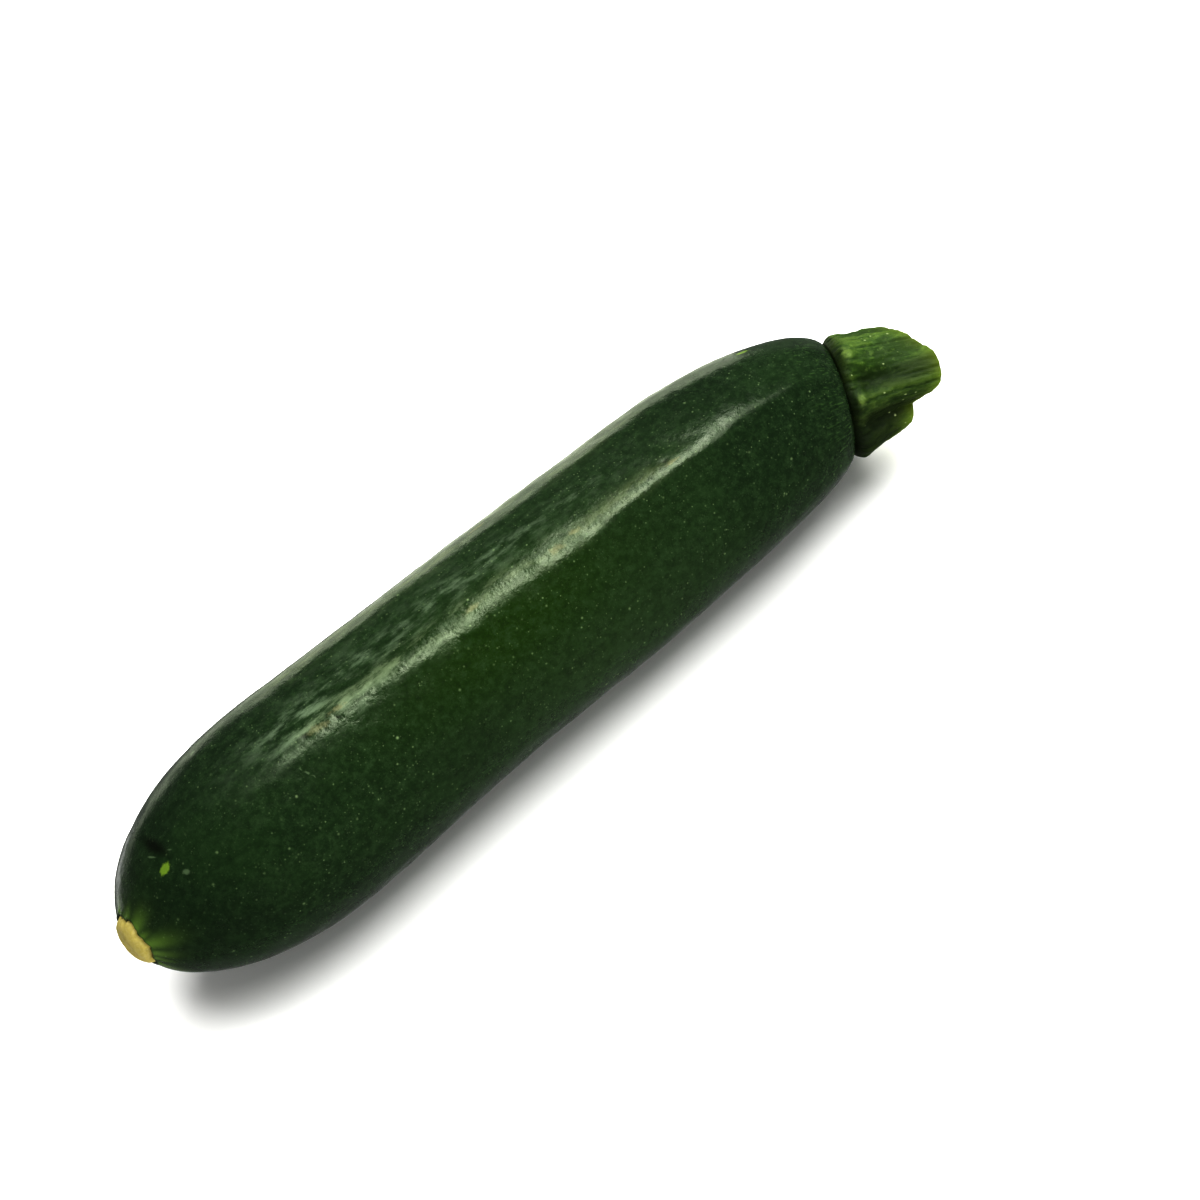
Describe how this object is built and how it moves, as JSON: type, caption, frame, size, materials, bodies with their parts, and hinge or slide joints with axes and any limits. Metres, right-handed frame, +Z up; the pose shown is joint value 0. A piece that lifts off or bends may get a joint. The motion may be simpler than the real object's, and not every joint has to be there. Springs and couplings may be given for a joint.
{
  "type": "zucchini",
  "caption": "Whole dark green zucchini lying on its side: a blunt-ridged tapering fruit with a corky blossom scar and a short ribbed stem with a slanted cut.",
  "frame": {"origin": "on the ground under the middle of the object's box", "axes": "+X from the blossom scar to the stem, +Z up, the fruit lying on its underside"},
  "size_m": [0.2128, 0.0486, 0.0467],
  "materials": {
    "skin": "waxy, mottled dark green plant skin with pale specks",
    "stem": "matt fibrous green plant stem"
  },
  "bodies": {
    "root": {"fruit": "skin", "stem": "stem"}
  },
  "joints": []
}
